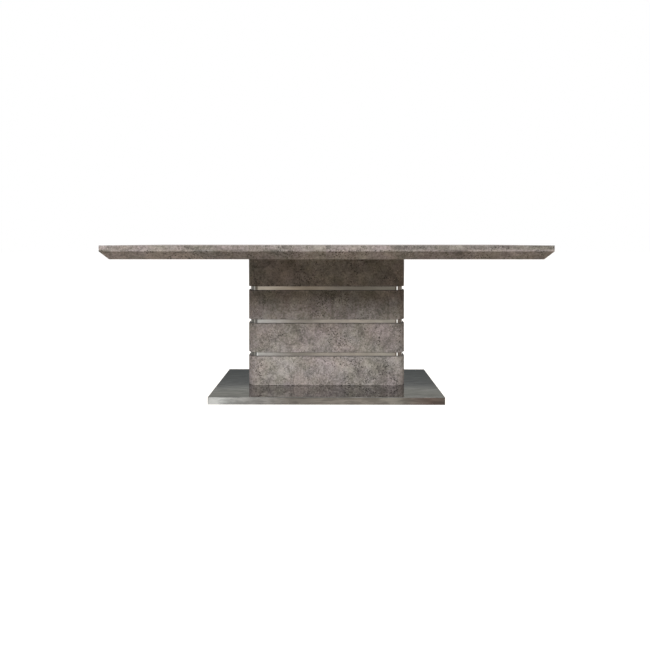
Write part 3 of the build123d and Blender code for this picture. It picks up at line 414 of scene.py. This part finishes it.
# ------------------------------------------------------------------ one material for each node
PLAIN_LOOKS = {
    "mdf_board": fibreboard("mdf_board_look"),
    "brushed_steel": polished_steel("plinth_steel_look", 0.37, streaks=0.20),
    "zinc_steel": zinc_plate("zinc_steel_look"),
    "black_steel": powder_coat("black_steel_look"),
    "nylon": moulded_nylon("nylon_look"),
    "foot_rubber": foot_rubber("foot_rubber_look"),
    "felt": pressed_felt("felt_look"),
    "beech": turned_beech("beech_look"),
    "brass": turned_brass("brass_look"),
}
BAND_NODES = ("bottom_band", "middle_band", "top_band")
BOX_NODES = ("bottom_box", "lower_box", "upper_box", "top_box")
BAND_LOOK = polished_steel("band_steel_look", 0.525, streaks=0.09)
BOTTOM_BOX_LIGHT_LIFT = 1.13  # painted light: the bottom box's laminate is made paler, a lit copy of the same sheet
LAMINATE_STEP = Vector((1.73, 0.61, 2.37))  # each laminated piece is cut from another place on the sheet


def dress_nodes():
    laminated = 0
    for subpart in frame["record"]["subparts"]:
        node = subpart["node"]
        slot = subpart["material_slot"]
        if slot == "concrete_laminate":
            laminated += 1
            # Painted light: the bottom box gets a paler copy of the laminate.
            light_lift = BOTTOM_BOX_LIGHT_LIFT if node == "bottom_box" else 1.0
            shaded_rims = None
            if node in BOX_NODES:
                heights = [corner.co.z for corner in frame["nodes"][node].data.vertices]
                # The bottom box's low rim, where it stands, gets no painted shade line.
                hidden = JOINT_SHADE_WIDTH if node == "bottom_box" else 0.0  # it stands on its low rim
                shaded_rims = (min(heights) - hidden, max(heights))
            look = concrete_laminate(f"laminate_{node}", tuple(LAMINATE_STEP * laminated), light_lift, shaded_rims)
        elif node in BAND_NODES:
            look = BAND_LOOK
        else:
            look = PLAIN_LOOKS[slot]
        mesh = frame["nodes"][node].data
        mesh.materials.clear()
        mesh.materials.append(look)


# ------------------------------------------------------------------ stage
def make_floor():
    mesh = bpy.data.meshes.new("floor")
    corners = [(-FLOOR_HALF, -FLOOR_HALF, 0), (FLOOR_HALF, -FLOOR_HALF, 0),
               (FLOOR_HALF, FLOOR_HALF, 0), (-FLOOR_HALF, FLOOR_HALF, 0)]
    mesh.from_pydata(corners, [], [(0, 1, 2, 3)])
    floor = bpy.data.objects.new("floor", mesh)
    bpy.context.scene.collection.objects.link(floor)

    # Evenly white to the eye. In reflections only it glows with a painted reflection of a room floor and
    # painted highlight patches, and that glow falls off further out.
    s = Shader("floor_look")
    path = s.node("ShaderNodeLightPath", {})
    split = s.node("ShaderNodeSeparateXYZ", {0: s.coordinates})
    across = split.outputs["X"]
    away = s.math("ABSOLUTE", split.outputs["Y"])
    slope = s.math("DIVIDE", across, s.math("ADD", away, SHEEN_BACK))
    sheen = s.ramp(s.fade(slope, SHEEN_FROM, SHEEN_TO, kind="LINEAR"), PAINTED_FLOOR_REFLECTION)
    to_right = s.fade(slope, RIGHT_SLOPE_FROM, RIGHT_SLOPE_TO)
    far_tint = s.mix(to_right, FAR_LEFT_TINT, FAR_RIGHT_TINT)
    dimmed = s.mix(1.0, sheen, far_tint, "MULTIPLY")
    sheen = s.mix(s.fade(away, FAR_FROM, FAR_TO), sheen, dimmed)
    clear_of_plinth = s.fade(away, CLEAR_OF_PLINTH_FROM, CLEAR_OF_PLINTH_TO)
    for side, start, end, light in PAINTED_HIGHLIGHT_PATCHES:
        sideways = s.math("SUBTRACT", s.math("MULTIPLY", across, side), PATCH_SEEN_FROM)
        bearing = s.math("ARCTAN2", sideways, away)
        opens = s.fade(bearing, math.radians(start), math.radians(start + PATCH_BLUR))
        closes = s.fade(bearing, math.radians(end), math.radians(end - PATCH_BLUR))
        patch = s.math("MULTIPLY", s.math("MULTIPLY", opens, closes), clear_of_plinth)
        sheen = s.mix(patch, sheen, light)
    # Painted reflection: in glossy rays only, the floor glows with the sheen and its patches.
    glow = s.mix(path.outputs["Is Glossy Ray"], BLACK, sheen)
    glow = s.mix(path.outputs["Is Camera Ray"], glow, WHITE)
    colour = s.mix(path.outputs["Is Glossy Ray"], FLOOR_DIFFUSE, BLACK)
    s.surface({"Base Color": colour, "Roughness": FLOOR_ROUGHNESS, "Specular IOR Level": 0.0,
               "Emission Color": glow, "Emission Strength": 1.0})
    mesh.materials.append(s.material)


def make_world():
    """White behind the table, a plain darker room in reflections, and a soft ambient light."""
    world = bpy.data.worlds.new("studio")
    bpy.context.scene.world = world
    nodes = NodeTree(world)
    path = nodes.node("ShaderNodeLightPath", {})
    direction = nodes.node("ShaderNodeTexCoord", {}).outputs["Generated"]
    split = nodes.node("ShaderNodeSeparateXYZ", {0: direction})
    room = nodes.ramp(split.outputs["Z"], ROOM_BANDS)
    backward = nodes.fade(split.outputs["Y"], AMBIENT_TURNS_FROM, AMBIENT_TURNS_TO, kind="LINEAR")
    ambient = nodes.mix(backward, AMBIENT_FRONT, AMBIENT_BACK)
    colour = nodes.mix(path.outputs["Is Glossy Ray"], ambient, room)
    colour = nodes.mix(path.outputs["Is Camera Ray"], colour, WHITE)
    background = nodes.node("ShaderNodeBackground", {"Color": colour})
    nodes.node("ShaderNodeOutputWorld", {"Surface": background.outputs[0]})


def area_light(name, place, aim, size, power, colour=(1, 1, 1)):
    data = bpy.data.lights.new(name, "AREA")
    data.shape = "RECTANGLE"
    data.size, data.size_y = size
    data.energy = power
    data.color = colour
    light = bpy.data.objects.new(name, data)
    light.location = place
    light.rotation_euler = (Vector(aim) - Vector(place)).to_track_quat("-Z", "Y").to_euler()
    bpy.context.scene.collection.objects.link(light)
    return light


def softbox(name, bearing, height, power):
    """A softbox that polished steel doesn't show: it shows the room's own bands instead."""
    level = math.cos(height)
    away = Vector((level * math.sin(bearing), -level * math.cos(bearing), math.sin(height)))
    place = Vector(SOFTBOX_AIM) + SOFTBOX_DISTANCE * away
    area_light(name, place, SOFTBOX_AIM, SOFTBOX_SIZE, power).visible_glossy = False


def make_lights():
    softbox("key", KEY_BEARING, KEY_HEIGHT, KEY_POWER)
    softbox("rear", REAR_BEARING, REAR_HEIGHT, REAR_POWER)
    area_light("window", WINDOW_PLACE, WINDOW_AIM, WINDOW_SIZE, WINDOW_POWER, WINDOW_COLOUR)
    area_light("overhead", OVERHEAD_PLACE, OVERHEAD_AIM, OVERHEAD_SIZE, OVERHEAD_POWER)


def make_camera():
    data = bpy.data.cameras.new("camera")
    data.sensor_width = SENSOR
    data.lens = SENSOR * FOCAL_PER_FRAME
    data.shift_y = SHIFT_Y
    camera = bpy.data.objects.new("camera", data)
    camera.location = CAMERA_PLACE
    camera.rotation_euler = Euler((math.pi / 2 - CAMERA_PITCH, 0, -CAMERA_YAW))
    bpy.context.scene.collection.objects.link(camera)
    bpy.context.scene.camera = camera


dress_nodes()
make_floor()
make_world()
make_lights()
make_camera()
bpy.context.scene.view_settings.view_transform = "Standard"
